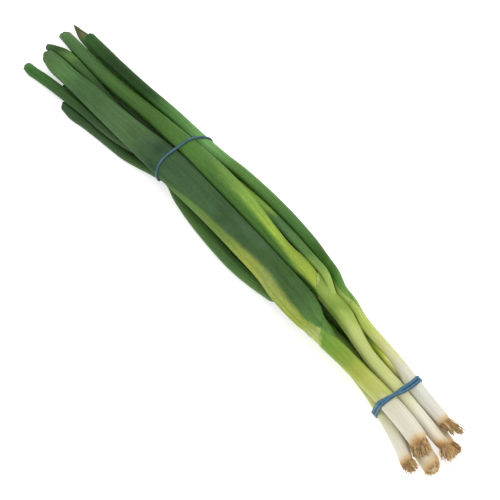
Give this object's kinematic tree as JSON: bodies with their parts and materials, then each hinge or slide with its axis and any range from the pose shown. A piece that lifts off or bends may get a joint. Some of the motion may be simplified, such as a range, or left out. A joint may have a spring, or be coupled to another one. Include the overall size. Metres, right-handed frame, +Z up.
{
  "type": "spring onion bunch",
  "caption": "Bunch of young spring onions lying on its side, with white stems, root tufts and long hollow green leaves, held by rubber bands.",
  "frame": {"origin": "on the surface the bunch lies on, under the middle of its bounding box", "axes": "+X along the bunch from the leaf tips to the roots, +Y across it, +Z up"},
  "size_m": [0.3996, 0.0634, 0.0234],
  "materials": {
    "stem": "smooth, slightly glossy and moist, white at the root and pale green above",
    "leaf": "smooth green with a fine waxy bloom",
    "dry_leaf": "green that fades to a dry brown tip",
    "root": "dry fibrous tan",
    "band": "satin blue rubber"
  },
  "bodies": {
    "root": {"onion_1_stem": "stem", "onion_2_stem": "stem", "onion_3_stem": "stem", "onion_4_stem": "stem", "onion_5_stem": "stem", "onion_6_stem": "stem", "onion_7_stem": "stem", "onion_1_leaf_1": "leaf", "onion_1_leaf_2": "leaf", "onion_2_leaf_1": "leaf", "onion_3_leaf_1": "leaf", "onion_3_leaf_2": "dry_leaf", "onion_4_leaf_1": "leaf", "onion_4_leaf_2": "leaf", "onion_5_leaf_1": "leaf", "onion_5_leaf_2": "leaf", "onion_6_leaf_1": "leaf", "onion_7_leaf_1": "leaf", "onion_1_roots": "root", "onion_2_roots": "root", "onion_3_roots": "root", "onion_4_roots": "root", "onion_5_roots": "root", "onion_6_roots": "root", "onion_7_roots": "root", "upper_band": "band", "lower_band": "band"}
  },
  "joints": []
}
